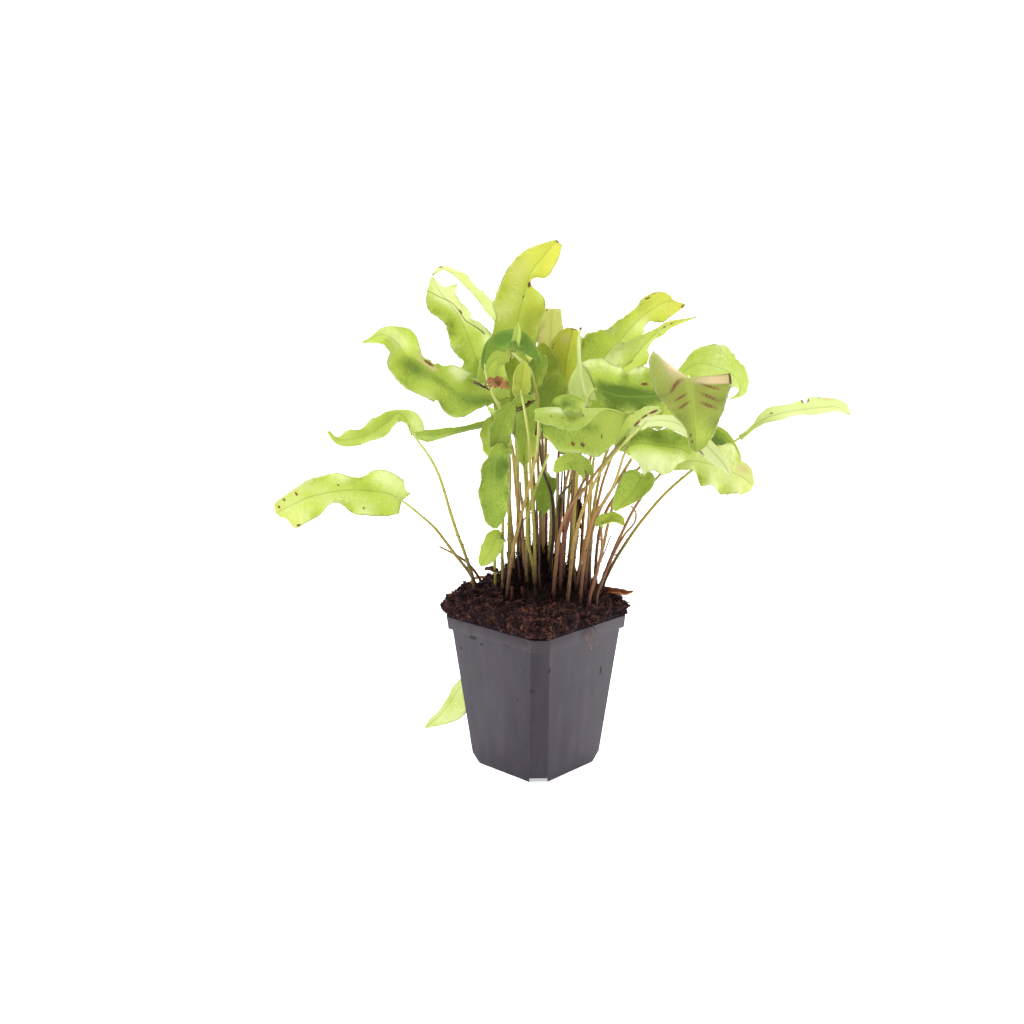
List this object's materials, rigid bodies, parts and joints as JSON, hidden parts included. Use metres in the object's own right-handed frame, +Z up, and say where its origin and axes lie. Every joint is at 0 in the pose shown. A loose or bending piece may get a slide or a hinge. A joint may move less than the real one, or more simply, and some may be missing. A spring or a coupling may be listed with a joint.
{
  "type": "potted fern",
  "caption": "Strap-leaved fern with long bare stalks and waved yellow-green blades, growing from a dark crown in peat in a small square nursery pot.",
  "frame": {"origin": "centre of the pot's flat underside, on the surface it stands on", "axes": "+Z up, +X and +Y square to two sides of the pot, with the pot's corner between +X and -Y towards the picture's camera"},
  "size_m": [0.2644, 0.2444, 0.337],
  "materials": {
    "pot": "satin charcoal grey moulded plastic, scuffed and dusty",
    "soil": "loose fibrous dark red-brown peat",
    "crown": "matted dark brown scales and old stalk bases",
    "leaf": "thin translucent yellow-green blade with a satin surface",
    "stalk": "thin brown stalk, green towards its head"
  },
  "bodies": {
    "root": {"pot": "pot", "soil": "soil", "crown": "crown", "frond_back_far": "leaf", "frond_back_high": "leaf", "frond_back_left": "leaf", "frond_back_low": "leaf", "frond_back_right": "leaf", "frond_back_side": "leaf", "frond_brown_veined": "leaf", "frond_dark_arch": "leaf", "frond_far_right": "leaf", "frond_front_round": "leaf", "frond_hanging_left": "leaf", "frond_hanging_right": "leaf", "frond_inner_dark": "leaf", "frond_inner_left": "leaf", "frond_inner_right": "leaf", "frond_inner_shade": "leaf", "frond_left_arch": "leaf", "frond_left_flat": "leaf", "frond_left_folded": "leaf", "frond_left_hook": "leaf", "frond_left_low": "leaf", "frond_left_thin": "leaf", "frond_low_back": "leaf", "frond_lower_middle": "leaf", "frond_middle_fold": "leaf", "frond_middle_pale": "leaf", "frond_narrow_middle": "leaf", "frond_pale_back": "leaf", "frond_pink": "leaf", "frond_right_arch": "leaf", "frond_right_broad": "leaf", "frond_right_dark": "leaf", "frond_right_high": "leaf", "frond_right_slim": "leaf", "frond_ruffled": "leaf", "frond_small_curl": "leaf", "frond_small_left": "leaf", "frond_small_oval": "leaf", "frond_spotted": "leaf", "frond_striped": "leaf", "frond_tallest": "leaf", "stalk_bare_left": "stalk", "stalk_bare_right": "stalk"}
  },
  "joints": []
}
